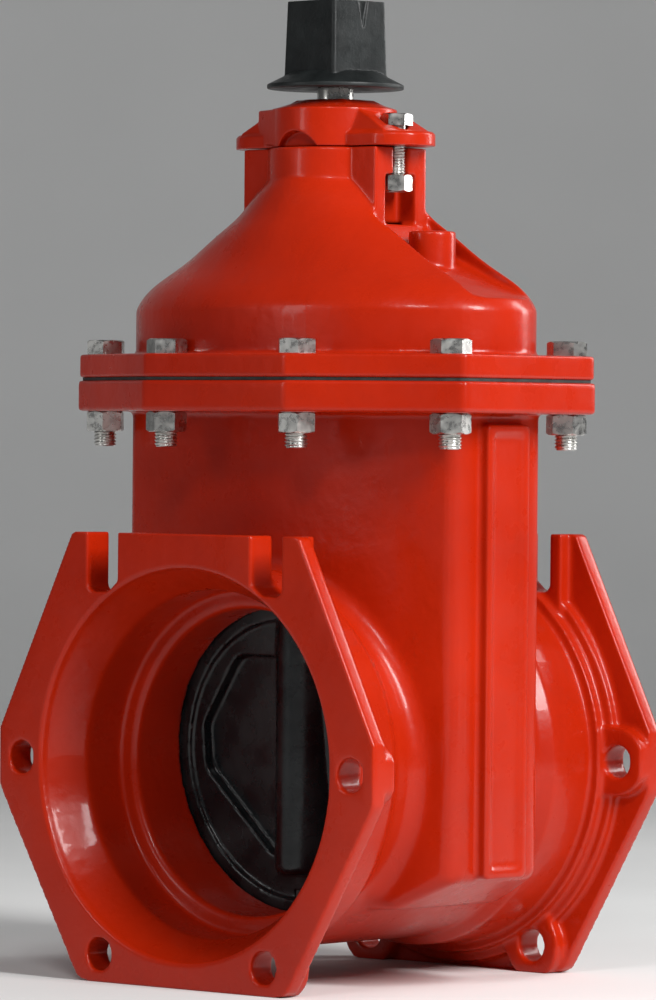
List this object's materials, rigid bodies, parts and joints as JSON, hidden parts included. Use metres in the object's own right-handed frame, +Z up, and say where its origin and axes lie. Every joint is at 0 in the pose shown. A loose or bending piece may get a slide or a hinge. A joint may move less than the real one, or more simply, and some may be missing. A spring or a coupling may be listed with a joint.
{
  "type": "gate valve",
  "caption": "Resilient-wedge gate valve for buried water pipe: mechanical-joint ends, bolted bonnet, square operating nut that turns the stem and lifts the wedge.",
  "frame": {"origin": "on the ground under the stem axis, at the centre of the valve's footprint", "axes": "+X along the pipe towards the outlet, +Z up the stem, Y across the pipe through the guide channels"},
  "size_m": [0.294, 0.3538, 0.662],
  "materials": {
    "red_epoxy": "gloss",
    "black_rubber": "satin",
    "gasket_rubber": "matte",
    "stainless": "satin",
    "stem_steel": "machined",
    "bronze": "machined",
    "core_iron": "cast",
    "black_iron": "cast, painted black",
    "polymer": "matte"
  },
  "bodies": {
    "valve": {"body": "red_epoxy", "bonnet": "red_epoxy", "bonnet_gasket": "gasket_rubber", "bonnet_bolts": "stainless", "bonnet_nuts": "stainless", "seal_plate": "red_epoxy", "seal_plate_gasket": "gasket_rubber", "seal_plate_bolts": "stainless", "seal_plate_nuts": "stainless", "thrust_washer_lower": "polymer", "thrust_washer_upper": "polymer", "lower_stem_o_ring": "black_rubber", "stem_o_rings": "black_rubber", "dust_seal": "black_rubber"},
    "stem": {"stem": "stem_steel", "operating_nut": "black_iron", "nut_washer": "stainless", "nut_screw": "stainless"},
    "wedge": {"wedge_core": "core_iron", "wedge_rubber": "black_rubber", "stem_nut": "bronze", "guide_cap_left": "polymer", "guide_cap_right": "polymer"}
  },
  "joints": [
    {"name": "stem_turn", "type": "hinge", "parent": "valve", "child": "stem", "pos_m": [0, 0, 0.54], "axis": [0, 0, 1], "range_deg": [0, 9270]},
    {"name": "wedge_lift", "type": "slide", "parent": "valve", "child": "wedge", "axis": [0, 0, 1], "range_m": [0, 0.2181]}
  ],
  "couplings": [
    {"joint": "wedge_lift", "follows": "stem_turn", "m_per_rad": 0.0013475}
  ]
}
